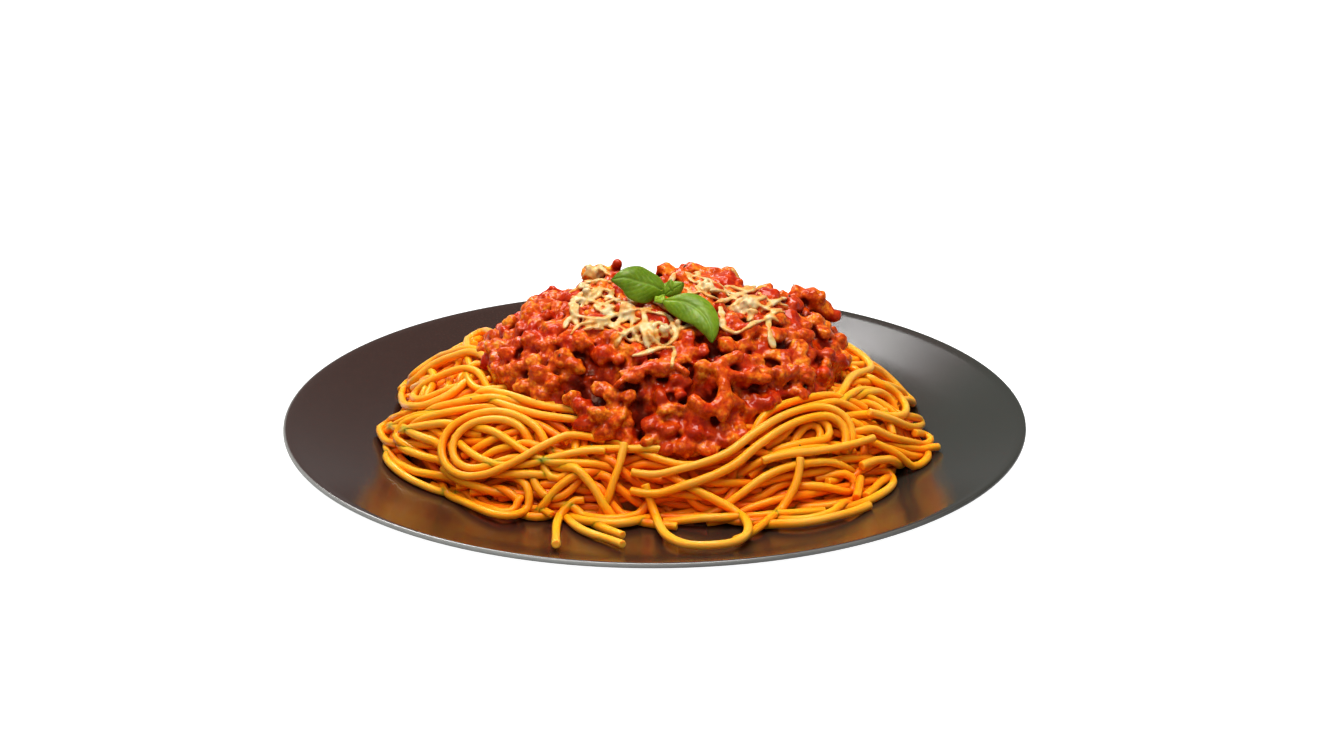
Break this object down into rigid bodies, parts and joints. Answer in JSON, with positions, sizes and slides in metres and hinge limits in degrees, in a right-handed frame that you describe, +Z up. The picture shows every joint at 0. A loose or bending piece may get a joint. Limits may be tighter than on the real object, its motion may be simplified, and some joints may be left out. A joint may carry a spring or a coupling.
{
  "type": "plate of spaghetti bolognese",
  "caption": "A heap of spaghetti on a dark coupe plate, topped with minced meat in tomato sauce, grated cheese and a sprig of basil.",
  "frame": {"origin": "on the surface that the plate stands on, under the plate's middle", "axes": "+Z up; +X to the picture's right; -Y towards the picture's camera"},
  "size_m": [0.26, 0.26, 0.079],
  "materials": {
    "plate": "satin",
    "spaghetti": "satin",
    "meat_sauce": "gloss",
    "cheese": "satin",
    "basil_sprig": "satin"
  },
  "bodies": {
    "root": {"plate": "plate", "spaghetti": "spaghetti", "meat_sauce": "meat_sauce", "basil_sprig": "basil_sprig"}
  },
  "joints": []
}
